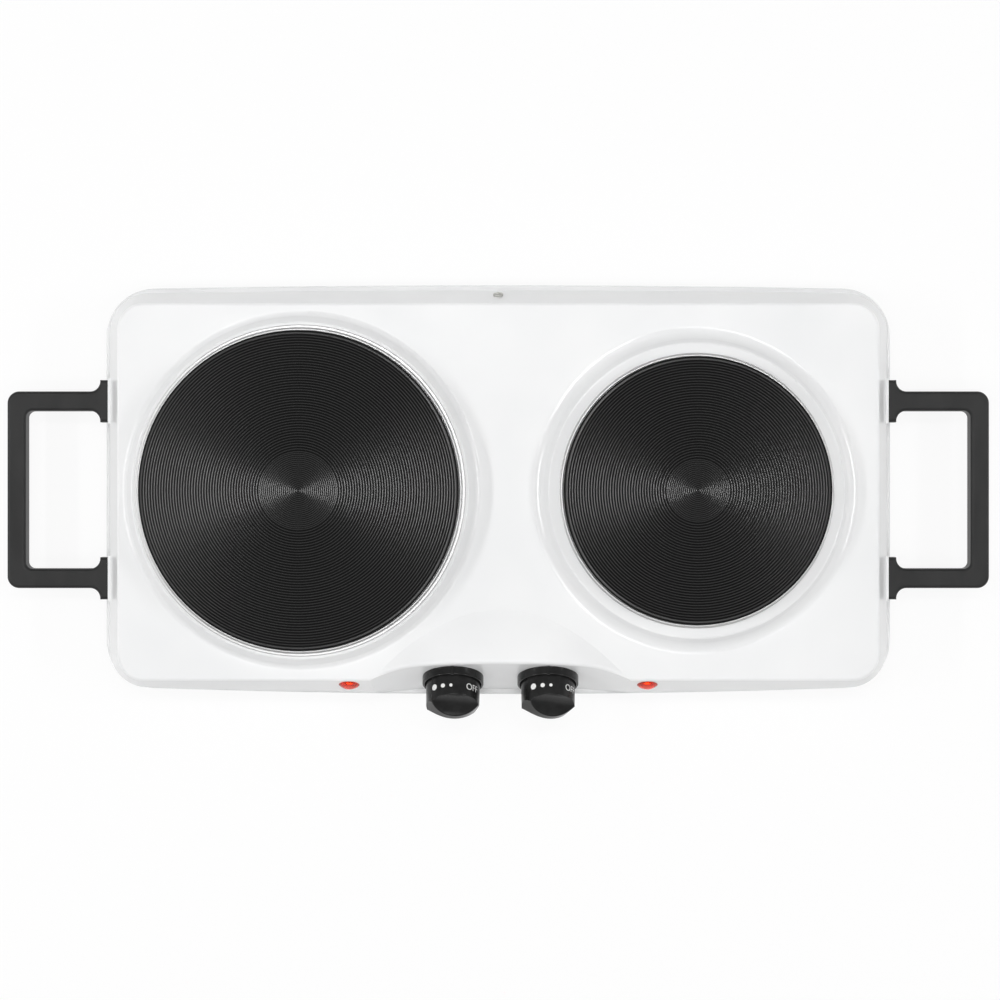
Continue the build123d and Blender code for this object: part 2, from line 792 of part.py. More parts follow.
def make_thermostat_frame(x):
    back = -sheet - frame_sheet
    frame = block((-frame_half_width, -frame_half_height, back),
                  (frame_half_width, frame_half_height, -sheet))
    frame += Pos(0, 0, back - bushing_length) * Cylinder(bushing_radius, bushing_length, align=BASE)
    frame -= Cylinder(spindle_radius + spindle_clearance, 4 * bushing_length)
    for place in frame_screw_places():
        frame -= Pos(*place, back) * Cylinder(small_screw_radius, 4 * frame_sheet)
    return panel_frame(x) * frame


first_blade = spindle_end - blade_tip_gap
blade_pitch = blade_sheet + stack_layer


def make_thermostat_insulators(x):
    u_low, u_high = -stack_offset - stack_width / 2, -stack_offset + stack_width / 2
    v = stack_height / 2
    layers = [block((u_low, -v, first_blade), (u_high, v, -sheet - frame_sheet))]
    for k in range(blade_count):
        top = first_blade - blade_sheet - k * blade_pitch
        layers.append(block((u_low, -v, top - stack_layer), (u_high, v, top)))
    return [panel_frame(x) * layer for layer in layers]


def make_thermostat_blades(x):
    u_low = -stack_offset - stack_width / 2
    u_high, v = u_low + blade_length, blade_width / 2
    blades = []
    for k in range(blade_count):
        top = first_blade - k * blade_pitch
        blade = block((u_low, -v, top - blade_sheet), (u_high, v, top))
        if k > 0:
            contact = Cylinder(contact_radius, contact_height, align=BASE)
            blade += Pos(u_high - 2 * contact_radius, 0, top) * contact
        blades.append(panel_frame(x) * blade)
    return blades


def make_thermostat_screws():
    grip = bezel_floor + sheet + frame_sheet + frame_screw_tail
    screw = pan_screw(small_screw_radius, small_head_radius, small_head_height, grip)
    return [panel_frame(x) * Pos(*place, bezel_floor) * screw
            for x in knob_places.values() for place in frame_screw_places()]


def make_lamp_lens(x):
    dome_radius = (lens_radius ** 2 + lens_rise ** 2) / (2 * lens_rise)
    dome = Pos(0, 0, lens_rise - dome_radius) * Sphere(dome_radius)
    dome &= Cylinder(lens_radius, lens_rise, align=BASE)
    stem = Cylinder(lens_stem_radius, lens_stem_length, align=HANGING)
    stem -= Cylinder(lens_stem_bore, lens_stem_length, align=HANGING)
    return lamp_frame(x) * Pos(0, 0, lens_seat) * (dome + stem)


def make_lamp_holder(x):
    bore = lens_stem_radius + lens_seat
    mouth = -band_wall - lens_seat
    deep = mouth - holder_length
    holder = turned([
        (0, deep - holder_cap), (holder_radius, deep - holder_cap), (holder_radius, mouth), (bore, mouth),
        (bore, deep), (0, deep)])
    return lamp_frame(x) * holder


def make_lamp_bulbs():
    low = -band_wall - lens_seat - holder_length
    bulb = Pos(0, 0, low) * Cylinder(bulb_radius, bulb_length, align=BASE)
    bulb = fillet(bulb.edges().group_by(Axis.Z)[-1], bulb_radius * 0.9)
    return [lamp_frame(x) * bulb for x in lamp_places.values()]


nodes = {
    "body_shell": [make_body_shell()],
    "base_plate": [make_base_plate()],
    "rubber_feet": make_rubber_feet(),
    "foot_screws": make_foot_screws(),
    "base_screws": make_base_screws(),
    "rear_screw": [make_rear_screw()],
    "cord_grommet": [make_cord_grommet()],
    "mains_terminal_block": [make_mains_terminal_block()],
    "terminal_block_screws": make_terminal_block_screws(),
    "plate_studs": make_plate_studs(),
    "clamp_washers": make_clamp_washers(),
    "clamp_nuts": make_clamp_nuts(),
    "terminal_pins": make_terminal_pins(),
    "handle_screws": make_handle_screws(),
    "thermostat_screws": make_thermostat_screws(),
    "lamp_bulbs": make_lamp_bulbs(),
}
for size in plate_places:
    nodes[size + "_hot_plate"] = [make_hot_plate(size)]
    nodes[size + "_trim_ring"] = [make_trim_ring(size)]
    nodes[size + "_insulation"] = [make_insulation(size)]
    nodes[size + "_heating_coil"] = [make_heating_coil(size)]
    nodes[size + "_plate_cover"] = [make_plate_cover(size)]
    nodes[size + "_terminal_block"] = [make_terminal_block(size)]
    nodes[size + "_clamp_bar"] = [make_clamp_bar(size)]
for hand in ("left", "right"):
    nodes[hand + "_handle"] = [make_handle(handle_sides[hand])]
    nodes[hand + "_knob_bezel"] = [make_knob_bezel(knob_places[hand])]
    nodes[hand + "_knob"] = [make_knob(hand)]
    nodes[hand + "_thermostat_spindle"] = [make_thermostat_spindle(hand)]
    nodes[hand + "_thermostat_frame"] = [make_thermostat_frame(knob_places[hand])]
    nodes[hand + "_thermostat_insulators"] = make_thermostat_insulators(knob_places[hand])
    nodes[hand + "_thermostat_blades"] = make_thermostat_blades(knob_places[hand])
    nodes[hand + "_lamp_lens"] = [make_lamp_lens(lamp_places[hand])]
    nodes[hand + "_lamp_holder"] = [make_lamp_holder(lamp_places[hand])]

# Each node goes to its own file, moved back to the assembly's origin.
os.makedirs("parts", exist_ok=True)
setting = Pos(0, plate_line_y, 0)
for name, pieces in nodes.items():
    solids = [setting * solid for piece in pieces for solid in piece.solids()]
    export_step(Compound(solids), os.path.join("parts", name + ".step"))
for hand, x in knob_places.items():
    print(hand, "knob axis through", panel_frame(x).origin + Vector(0, plate_line_y, 0), "along", panel_out)
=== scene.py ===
import json
import math

import bmesh
import bpy
from mathutils import Matrix, Vector


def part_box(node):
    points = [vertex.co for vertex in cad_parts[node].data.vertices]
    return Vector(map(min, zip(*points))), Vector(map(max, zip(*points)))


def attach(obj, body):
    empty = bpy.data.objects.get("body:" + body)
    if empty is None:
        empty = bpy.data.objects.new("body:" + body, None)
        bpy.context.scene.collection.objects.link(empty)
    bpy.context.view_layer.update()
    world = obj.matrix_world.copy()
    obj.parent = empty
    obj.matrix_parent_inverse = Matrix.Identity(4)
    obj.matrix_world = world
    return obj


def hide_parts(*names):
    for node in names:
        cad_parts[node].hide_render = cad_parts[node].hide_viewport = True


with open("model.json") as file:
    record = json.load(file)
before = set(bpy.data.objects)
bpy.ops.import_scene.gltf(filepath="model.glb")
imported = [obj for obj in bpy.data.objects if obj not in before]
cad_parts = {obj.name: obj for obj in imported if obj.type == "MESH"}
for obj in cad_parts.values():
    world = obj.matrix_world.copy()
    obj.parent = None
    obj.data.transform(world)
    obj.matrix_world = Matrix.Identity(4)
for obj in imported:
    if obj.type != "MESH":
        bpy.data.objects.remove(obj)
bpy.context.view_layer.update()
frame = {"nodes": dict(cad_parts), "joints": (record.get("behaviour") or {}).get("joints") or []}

# Base plate, clamp bars, heater covers and thermostat frames: galvanised steel sheet, stamped and bent. The
# base plate closes the housing from below, slotted for air and bent up at the rear into a tab. The zinc is
# dull and shows its crystals.
MM = 0.001


def new_finish(name, colour, metallic, roughness):
    """A material with one shader; these three are its plain values before any pattern is added."""
    finish = bpy.data.materials.new(name)
    finish.use_nodes = True
    shader = finish.node_tree.nodes["Principled BSDF"]
    shader.inputs["Base Color"].default_value = (*colour, 1)
    shader.inputs["Metallic"].default_value = metallic
    shader.inputs["Roughness"].default_value = roughness
    return finish, shader


def add_node(finish, kind, **sockets):
    """A new node whose named input sockets are set, spelled with _ for a space."""
    node = finish.node_tree.nodes.new(kind)
    for name, value in sockets.items():
        node.inputs[name.replace("_", " ")].default_value = value
    return node


def piece_space(finish, stretch=(1, 1, 1)):
    """The piece's own metres as a texture coordinate, multiplied along each axis."""
    place = finish.node_tree.nodes.new("ShaderNodeTexCoord")
    mapping = add_node(finish, "ShaderNodeMapping", Scale=stretch)
    finish.node_tree.links.new(place.outputs["Object"], mapping.inputs["Vector"])
    return mapping.outputs["Vector"]


def grain(finish, size, detail=3.0, stretch=(1, 1, 1)):
    """Soft fractal noise whose blotches are about one size across; gives a value from 0 to 1."""
    node = add_node(finish, "ShaderNodeTexNoise", Scale=1 / size, Detail=detail)
    finish.node_tree.links.new(piece_space(finish, stretch), node.inputs["Vector"])
    return node.outputs["Fac"]


def crystals(finish, size):
    """Angular cells about one size across; each has its own value from 0 to 1."""
    node = add_node(finish, "ShaderNodeTexVoronoi", Scale=1 / size)
    finish.node_tree.links.new(piece_space(finish), node.inputs["Vector"])
    return node.outputs["Color"]


def spread(finish, pattern, low, high):
    """Carries a 0 to 1 pattern onto the range from low to high."""
    node = add_node(finish, "ShaderNodeMapRange", To_Min=low, To_Max=high)
    finish.node_tree.links.new(pattern, node.inputs["Value"])
    return node.outputs["Result"]


def vary_colour(finish, shader, pattern, dark, light):
    """Lets the base colour wander between two colours with the middle values of the pattern."""
    ramp = finish.node_tree.nodes.new("ShaderNodeValToRGB")
    for stop, (position, colour) in zip(ramp.color_ramp.elements, ((0.3, dark), (0.7, light))):
        stop.position = position
        stop.color = (*colour, 1)
    finish.node_tree.links.new(pattern, ramp.inputs["Fac"])
    finish.node_tree.links.new(ramp.outputs["Color"], shader.inputs["Base Color"])


def vary_roughness(finish, shader, pattern, low, high):
    """Lets the gloss wander with the pattern, from a low roughness to a high one."""
    finish.node_tree.links.new(spread(finish, pattern, low, high), shader.inputs["Roughness"])


def raise_grain(finish, shader, pattern, height):
    """Lets the pattern stand proud of the surface by a height in metres."""
    bump = add_node(finish, "ShaderNodeBump", Distance=height)
    finish.node_tree.links.new(pattern, bump.inputs["Height"])
    finish.node_tree.links.new(bump.outputs["Normal"], shader.inputs["Normal"])


def dress(finish, *node_names):
    """Gives carried-over nodes of the frame their finish."""
    for name in node_names:
        for slot in frame["nodes"][name].material_slots:
            slot.material = finish


galvanised, shader = new_finish("galvanised_sheet", (0.52, 0.53, 0.54), 1.0, 0.42)
spangle = crystals(galvanised, 9 * MM)
vary_colour(galvanised, shader, spangle, (0.49, 0.50, 0.51), (0.57, 0.58, 0.59))
vary_roughness(galvanised, shader, spangle, 0.32, 0.52)
raise_grain(galvanised, shader, grain(galvanised, 1.2 * MM), 0.01 * MM)
dress(galvanised, "base_plate", "large_clamp_bar", "small_clamp_bar", "large_plate_cover",
      "small_plate_cover", "left_thermostat_frame", "right_thermostat_frame")

# Cord bushing: a grooved ring of black rubber, moulded in one piece and snapped into its hole in the base
# plate, where it guards the way in for the supply.
rubber, shader = new_finish("black_rubber", (0.018, 0.018, 0.019), 0.0, 0.72)
vary_colour(rubber, shader, grain(rubber, 6 * MM), (0.014, 0.014, 0.015), (0.028, 0.028, 0.029))
raise_grain(rubber, shader, grain(rubber, 0.7 * MM, 5), 0.03 * MM)
dress(rubber, "cord_grommet")

# Hidden screws, nuts, studs and spindles: small turned and cold-headed steel pieces. Their zinc plating is
# faintly mottled and slightly yellow.
plated, shader = new_finish("zinc_plated_steel", (0.46, 0.46, 0.44), 1.0, 0.3)
mottle = grain(plated, 1.5 * MM)
vary_colour(plated, shader, mottle, (0.38, 0.38, 0.36), (0.54, 0.54, 0.51))
vary_roughness(plated, shader, mottle, 0.22, 0.38)
dress(plated, "handle_screws", "thermostat_screws", "terminal_block_screws", "plate_studs", "clamp_washers",
      "clamp_nuts", "left_thermostat_spindle", "right_thermostat_spindle")

# Terminal blocks, heater filling and thermostat insulators: pressed and fired steatite, off-white and matt,
# with a fine sandy surface.
steatite, shader = new_finish("fired_steatite", (0.78, 0.75, 0.68), 0.0, 0.7)
vary_colour(steatite, shader, grain(steatite, 5 * MM), (0.70, 0.67, 0.60), (0.82, 0.79, 0.72))
raise_grain(steatite, shader, grain(steatite, 0.6 * MM, 5), 0.04 * MM)
dress(steatite, "mains_terminal_block", "large_terminal_block", "small_terminal_block", "large_insulation",
      "small_insulation", "left_thermostat_insulators", "right_thermostat_insulators")

# Contact blades and terminal pins: spring brass. The blades are stamped from strip, the pins are drawn, and
# both are slightly tarnished.
brass, shader = new_finish("spring_brass", (0.72, 0.52, 0.22), 1.0, 0.32)
tarnish = grain(brass, 4 * MM)
vary_colour(brass, shader, tarnish, (0.60, 0.42, 0.17), (0.78, 0.58, 0.26))
vary_roughness(brass, shader, tarnish, 0.25, 0.42)
dress(brass, "left_thermostat_blades", "right_thermostat_blades", "terminal_pins")

# Heating coils: resistance strip wound into a flat spiral and pressed into the ceramic under each plate.
# The alloy is darkened and blued by heat.
blued, shader = new_finish("heat_blued_alloy", (0.16, 0.15, 0.15), 1.0, 0.5)
vary_colour(blued, shader, grain(blued, 8 * MM), (0.10, 0.10, 0.13), (0.22, 0.18, 0.15))
dress(blued, "large_heating_coil", "small_heating_coil")

# Housing: deep-drawn sheet steel under fired white porcelain enamel. The glassy coat is a little wavy, runs
# slightly thicker and thinner, and shines all over.
enamel, shader = new_finish("white_enamel", (0.83, 0.835, 0.84), 0.0, 0.14)
thickness = grain(enamel, 60 * MM, 2)
vary_colour(enamel, shader, thickness, (0.81, 0.815, 0.82), (0.85, 0.853, 0.855))
vary_roughness(enamel, shader, thickness, 0.11, 0.19)
raise_grain(enamel, shader, grain(enamel, 5 * MM, 1), 0.012 * MM)
dress(enamel, "body_shell")

# Spill rings: bright steel, spun to shape. Each lies flat on its pedestal, and a round-edged lip stands up
# close round the plate. Spinning leaves fine rings all round.
def rounded_outline(corners):
    """Points of a closed outline; a corner is (across, up, radius), and a radius above zero is an arc."""
    ARC_STEPS = 5
    points = []
    for index, (across, up, radius) in enumerate(corners):
        corner = Vector((across, up))
        if radius == 0:
            points.append(corner)
            continue
        back = (Vector(corners[index - 1][:2]) - corner).normalized()
        onward = (Vector(corners[(index + 1) % len(corners)][:2]) - corner).normalized()
        half = back.angle(onward) / 2
        reach = radius / math.tan(half)
        centre = corner + (back + onward).normalized() * radius / math.sin(half)
        first = (corner + back * reach - centre).normalized()
        last = (corner + onward * reach - centre).normalized()
        for step in range(ARC_STEPS + 1):
            points.append(centre + first.slerp(last, step / ARC_STEPS) * radius)
    return points


def new_piece(name, mesh, finish, place, sharp_turn=40):
    """Puts a finished mesh into the scene with one material, smooth but for turns sharper than an angle."""
    mesh.transform(place)
    mesh.materials.append(finish)
    mesh.shade_smooth()
    mesh.set_sharp_from_angle(angle=math.radians(sharp_turn))
    piece = bpy.data.objects.new(name, mesh)
    bpy.context.scene.collection.objects.link(piece)
    return piece


def made_mesh(form, name):
    """Turns a form that is finished into a mesh."""
    mesh = bpy.data.meshes.new(name)
    form.to_mesh(mesh)
    form.free()
    return mesh


def turned_mesh(name, outline, segments):
    """Turns a closed (radius, height) outline about the upright axis; axis points become one vertex."""
    ON_AXIS = 1e-7
    form = bmesh.new()
    angles = [2 * math.pi * step / segments for step in range(segments)]
    rings = []
    for radius, height in outline:
        if radius < ON_AXIS:
            rings.append([form.verts.new((0, 0, height))])
            continue
        rings.append([form.verts.new((radius * math.cos(a), radius * math.sin(a), height)) for a in angles])
    for lower, upper in zip(rings, rings[1:] + rings[:1]):
        if len(lower) == 1 and len(upper) == 1:
            continue
        for step in range(segments):
            after = (step + 1) % segments
            corners = [ring[k % len(ring)] for ring, k in
                       ((lower, step), (lower, after), (upper, after), (upper, step))]
            form.faces.new(dict.fromkeys(corners))
    bmesh.ops.recalc_face_normals(form, faces=form.faces)
    return made_mesh(form, name)


def turning_marks(finish, axis, pitch):
    """Noise that changes only with the distance from an upright axis, as tool marks on turned work do."""
    RADIAL_ONLY = (1, 1, 0)
    tree = finish.node_tree
    centred = tree.nodes.new("ShaderNodeVectorMath")
    centred.operation = "SUBTRACT"
    centred.inputs[1].default_value = axis
    tree.links.new(piece_space(finish), centred.inputs[0])
    flat = tree.nodes.new("ShaderNodeVectorMath")
    flat.operation = "MULTIPLY"
    flat.inputs[1].default_value = RADIAL_ONLY
    tree.links.new(centred.outputs["Vector"], flat.inputs[0])
    distance = tree.nodes.new("ShaderNodeVectorMath")
    distance.operation = "LENGTH"
    tree.links.new(flat.outputs["Vector"], distance.inputs[0])
    marks = add_node(finish, "ShaderNodeTexNoise", Scale=1 / pitch, Detail=4)
    marks.noise_dimensions = "1D"
    tree.links.new(distance.outputs["Value"], marks.inputs["W"])
    return marks.outputs["Fac"]


plate_sizes = ("large", "small")
plate_boxes = {size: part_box(size + "_hot_plate") for size in plate_sizes}
plate_axes = {size: (low + high) / 2 * Vector((1, 1, 0)) for size, (low, high) in plate_boxes.items()}
plate_radii = {size: (high.x - low.x) / 2 for size, (low, high) in plate_boxes.items()}
RING_SHEET = 1.2 * MM
RING_GAP = 0.2 * MM
RING_SEAT = 4.5 * MM
RING_EDGE_ROUND = 0.6 * MM
RING_UPPER_ROUND = 0.55 * MM
RING_LIP_ROUND = 0.5 * MM
RING_SEGMENTS = 240
SPINNING_PITCH = 0.25 * MM
for size in plate_sizes:
    ring_low, ring_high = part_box(size + "_trim_ring")
    outer = (ring_high.x - ring_low.x) / 2
    wall = plate_radii[size] + RING_GAP
    seat, lip = ring_low.z, ring_high.z
    steel, shader = new_finish(size + "_spun_steel", (0.58, 0.58, 0.58), 1.0, 0.4)
    marks = turning_marks(steel, plate_axes[size], SPINNING_PITCH)
    vary_colour(steel, shader, marks, (0.52, 0.52, 0.52), (0.64, 0.64, 0.64))
    vary_roughness(steel, shader, marks, 0.32, 0.46)
    inner, flange = plate_radii[size] - RING_SEAT, seat + RING_SHEET
    outline = rounded_outline([
        (inner, seat, 0), (outer, seat, RING_EDGE_ROUND), (outer, flange, RING_UPPER_ROUND),
        (wall + 1.5 * RING_SHEET, flange, RING_EDGE_ROUND), (wall + RING_SHEET, lip, RING_LIP_ROUND),
        (wall, lip, RING_LIP_ROUND), (wall, flange, 0), (inner, flange, 0)])
    ring_mesh = turned_mesh(size + "_spill_ring", outline, RING_SEGMENTS)
    ring = new_piece(size + "_spill_ring", ring_mesh, steel, Matrix.Translation(plate_axes[size]))
    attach(ring, "housing")
    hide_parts(size + "_trim_ring")

# Rubber feet: four squat cones, moulded with rounded rims and a bore from below. Each is held to the base
# plate by a screw deep in that bore.
FOOT_RADIUS = 12.0 * MM
FOOT_TIP = 10.0 * MM
FOOT_BORE = 4.6 * MM
FOOT_HOLE = 2.0 * MM
FOOT_RIM_ROUND = 0.8 * MM
FOOT_TIP_ROUND = 1.8 * MM
FOOT_SEGMENTS = 64
feet_low, feet_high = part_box("rubber_feet")
foot_height = feet_high.z
bore_top = foot_height / 2
foot_places = [(x, y) for x in (feet_low.x + FOOT_RADIUS, feet_high.x - FOOT_RADIUS)
               for y in (feet_low.y + FOOT_RADIUS, feet_high.y - FOOT_RADIUS)]


def copied_mesh(name, one, places):
    """One mesh made of copies of another, with a copy at each place."""
    form = bmesh.new()
    for place in places:
        copy = one.copy()
        copy.transform(place)
        form.from_mesh(copy)
    return made_mesh(form, name)


outline = rounded_outline([
    (FOOT_HOLE, foot_height, 0), (FOOT_RADIUS, foot_height, FOOT_RIM_ROUND), (FOOT_TIP, 0, FOOT_TIP_ROUND),
    (FOOT_BORE, 0, FOOT_RIM_ROUND), (FOOT_BORE, bore_top, 0), (FOOT_HOLE, bore_top, 0)])
foot = turned_mesh("foot", outline, FOOT_SEGMENTS)
feet_mesh = copied_mesh("moulded_feet", foot, [Matrix.Translation((x, y, 0)) for x, y in foot_places])
feet = new_piece("moulded_feet", feet_mesh, rubber, Matrix.Identity(4))
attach(feet, "housing")
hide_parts("rubber_feet")

# Hot plates: iron castings with a downturned cup for the heater. The top is turned into fine concentric
# grooves, finer in the middle zone, under a black heat-proof coating that pans wear thin along the crests.
PLATE_WEB = 6.0 * MM
CUP_INSET = 8.5 * MM
CUP_WALL = 4.0 * MM
RIM_LAND = 1.0 * MM
RIM_ROUND = 0.9 * MM
GROOVE_PITCH = 1.55 * MM
ZONE_GROOVE_PITCH = 1.15 * MM
FLANK_AT_CREST = math.radians(22)
FLANK_AT_ROOT = math.radians(17)
WORN_DEPTH = 0.18 * MM
ZONE_RING_HALF = 0.5 * MM
ZONE_RING_DEPTH = 0.2 * MM
PLATE_SEGMENTS = 240
PLATE_SHARP_TURN = 28
zone_radii = {"large": 22.0 * MM, "small": 17.5 * MM}


def grooved_run(inner, outer, pitch, top):
    """Points across a run of V grooves with hollow flanks, crest to crest, from the inner radius out."""
    count = round((outer - inner) / pitch)
    quarter = (outer - inner) / count / 4
    upper_drop = quarter * math.tan(FLANK_AT_CREST)
    root_drop = upper_drop + quarter * math.tan(FLANK_AT_ROOT)
    drops = (0, upper_drop, root_drop, upper_drop)
    return [Vector((inner + quarter * step, top - drops[step % 4])) for step in range(4 * count + 1)]


def worn_crests(finish, top, depth):
    """1 at the level of the crests, where pans rub, fading to 0 at a depth below them."""
    parts = finish.node_tree.nodes.new("ShaderNodeSeparateXYZ")
    finish.node_tree.links.new(piece_space(finish), parts.inputs["Vector"])
    level = add_node(finish, "ShaderNodeMapRange", From_Min=top - depth, From_Max=top)
    finish.node_tree.links.new(parts.outputs["Z"], level.inputs["Value"])
    return level.outputs["Result"]


for size in plate_sizes:
    low, high = plate_boxes[size]
    radius, zone, top = plate_radii[size], zone_radii[size], high.z
    iron, shader = new_finish(size + "_coated_iron", (0.003, 0.003, 0.003), 0.0, 0.3)
    worn = worn_crests(iron, top, WORN_DEPTH)
    vary_colour(iron, shader, worn, (0.005, 0.005, 0.005), (0.009, 0.009, 0.009))
    iron.node_tree.links.new(spread(iron, worn, 0.08, 1.0), shader.inputs["Specular IOR Level"])
    pores = grain(iron, 0.9 * MM, 3)
    vary_roughness(iron, shader, pores, 0.285, 0.32)
    raise_grain(iron, shader, pores, 0.006 * MM)
    cup, cup_inside = radius - CUP_INSET, radius - CUP_INSET - CUP_WALL
    rim_top, web = top - WORN_DEPTH, top - PLATE_WEB
    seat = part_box(size + "_trim_ring")[0].z + RING_SHEET
    outline = grooved_run(0, zone - ZONE_RING_HALF, ZONE_GROOVE_PITCH, top)
    outline.append(Vector((zone, top - ZONE_RING_DEPTH)))
    outline += grooved_run(zone + ZONE_RING_HALF, radius - RIM_ROUND - RIM_LAND, GROOVE_PITCH, top)
    outline += rounded_outline([
        (radius, rim_top, RIM_ROUND), (radius, seat, 0), (cup, seat, 0), (cup, low.z, 0),
        (cup_inside, low.z, 0), (cup_inside, web, 0), (0, web, 0), (0, top, 0)])[:-1]
    plate_mesh = turned_mesh(size + "_grooved_plate", outline, PLATE_SEGMENTS)
    plate_place = Matrix.Translation(plate_axes[size])
    plate = new_piece(size + "_grooved_plate", plate_mesh, iron, plate_place, PLATE_SHARP_TURN)
    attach(plate, "housing")
    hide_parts(size + "_hot_plate")

# Handles: one-piece mouldings of black heat-proof plastic, screwed on from inside the housing. The mould is
# finely spark-eroded, so the faces are satin with a close grain.
moulded, shader = new_finish("black_moulded_plastic", (0.02, 0.02, 0.02), 0.0, 0.42)
shader.inputs["Specular IOR Level"].default_value = 0.24
flow = grain(moulded, 14 * MM, 3, (1, 0.4, 1))
vary_colour(moulded, shader, flow, (0.016, 0.016, 0.016), (0.024, 0.024, 0.024))
vary_roughness(moulded, shader, flow, 0.36, 0.46)
raise_grain(moulded, shader, grain(moulded, 0.45 * MM, 4), 0.02 * MM)
dress(moulded, "left_handle", "right_handle")

# Knob bezels: shallow cups of black plastic, glossy from the mould, screwed to the control face under the
# knobs. A small rib at the top of each is the pointer that the knob's marks are read against.
glossy_black, shader = new_finish("glossy_black_plastic", (0.014, 0.014, 0.014), 0.0, 0.26)
shader.inputs["Specular IOR Level"].default_value = 0.28
sheen = grain(glossy_black, 5 * MM)
vary_colour(glossy_black, shader, sheen, (0.011, 0.011, 0.011), (0.017, 0.017, 0.017))
vary_roughness(glossy_black, shader, sheen, 0.18, 0.26)
raise_grain(glossy_black, shader, grain(glossy_black, 1.5 * MM), 0.004 * MM)


def control_place(joint):
    """The control face at one knob: across, up the slope, and outward along the knob's axis."""
    outward = Vector(joint["axis"])
    across = Vector((1, 0, 0))
    up_slope = outward.cross(across)
    place = Matrix((across, up_slope, outward)).transposed().to_4x4()
    place.translation = joint["pos_m"]
    return place


control_places = {joint["name"].split("_")[0]: control_place(joint) for joint in frame["joints"]}
BEZEL_RADIUS = 18.0 * MM
BEZEL_INNER = 16.6 * MM
BEZEL_DEPTH = 5.0 * MM
BEZEL_FLOOR = 1.2 * MM
BEZEL_HOLE = 3.3 * MM
BEZEL_OUTER_ROUND = 0.6 * MM
BEZEL_INNER_ROUND = 0.4 * MM
BEZEL_FLOOR_ROUND = 0.3 * MM
BEZEL_SEGMENTS = 160
RIB_WIDTH = 2.0 * MM
RIB_PROUD = 0.6 * MM
RIB_ROUND = 0.3 * MM
for hand, place in control_places.items():
    outline = rounded_outline([
        (BEZEL_HOLE, 0, 0), (BEZEL_RADIUS, 0, 0), (BEZEL_RADIUS, BEZEL_DEPTH, BEZEL_OUTER_ROUND),
        (BEZEL_INNER, BEZEL_DEPTH, BEZEL_INNER_ROUND), (BEZEL_INNER, BEZEL_FLOOR, BEZEL_FLOOR_ROUND),
        (BEZEL_HOLE, BEZEL_FLOOR, 0)])
    form = bmesh.new()
    form.from_mesh(turned_mesh(hand + "_bezel_cup", outline, BEZEL_SEGMENTS))
    middle = (BEZEL_INNER + BEZEL_RADIUS + RIB_PROUD) / 2
    rib_depth = BEZEL_RADIUS + RIB_PROUD - BEZEL_INNER
    rib_size = Matrix.Diagonal((RIB_WIDTH, rib_depth, BEZEL_DEPTH + RIB_PROUD, 1))
    rib_place = Matrix.Translation((0, middle, (BEZEL_DEPTH + RIB_PROUD) / 2))
    rib = bmesh.ops.create_cube(form, size=1, matrix=rib_place @ rib_size)["verts"]
    rib_edges = {edge for corner in rib for edge in corner.link_edges}
    bmesh.ops.bevel(form, geom=list(rib_edges), offset=RIB_ROUND, segments=3, profile=0.5, affect="EDGES")
    bezel_mesh = made_mesh(form, hand + "_pointer_bezel")
    bezel = new_piece(hand + "_pointer_bezel", bezel_mesh, glossy_black, place)
    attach(bezel, "housing")
    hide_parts(hand + "_knob_bezel")

# Knobs: hollow black mouldings pushed onto the thermostat spindles. The front is arched, and two hollows
# scooped from it leave a grip blade across the middle; every edge keeps the small round of its mould.
KNOB_FOOT_RADIUS = 16.05 * MM
KNOB_FRONT_RADIUS = 15.6 * MM
KNOB_LIFT = 1.7 * MM
KNOB_LENGTH = 25.2 * MM
KNOB_SHOULDER = 17.0 * MM
KNOB_WALL = 1.8 * MM
KNOB_CEILING = 14.0 * MM
KNOB_EDGE_ROUND = 0.35 * MM
SCOOP_RADIUS = 14.2 * MM
SCOOP_OFFSET = 15.5 * MM
SCOOP_ABOVE_FRONT = 5.5 * MM
SCOOP_CENTRE = KNOB_LENGTH + SCOOP_ABOVE_FRONT
KNOB_RINGS = 80
KNOB_SEGMENTS = 192
BLADE_TURN = -16.0
knob_rests = {"left": 3.0, "right": -5.0}
arch_drop = KNOB_LENGTH - KNOB_SHOULDER
ARCH_RADIUS = (KNOB_FRONT_RADIUS ** 2 + arch_drop ** 2) / (2 * arch_drop)


def soft_least(one, other, blend):
    """The lesser of two heights, rounded over where they cross."""
    nearness = max(blend - abs(one - other), 0) / blend
    return min(one, other) - nearness ** 2 * blend / 4


def knob_front(across, along):
    """Height of the knob's front: an arch along the blade, with a scoop on each side of it."""
    arch = KNOB_LENGTH - ARCH_RADIUS + math.sqrt(ARCH_RADIUS ** 2 - across ** 2)
    offset = abs(abs(along) - SCOOP_OFFSET)
    if offset >= SCOOP_RADIUS:
        return arch
    scoop = SCOOP_CENTRE - math.sqrt(SCOOP_RADIUS ** 2 - offset ** 2)
    return soft_least(arch, scoop, 2 * KNOB_EDGE_ROUND)


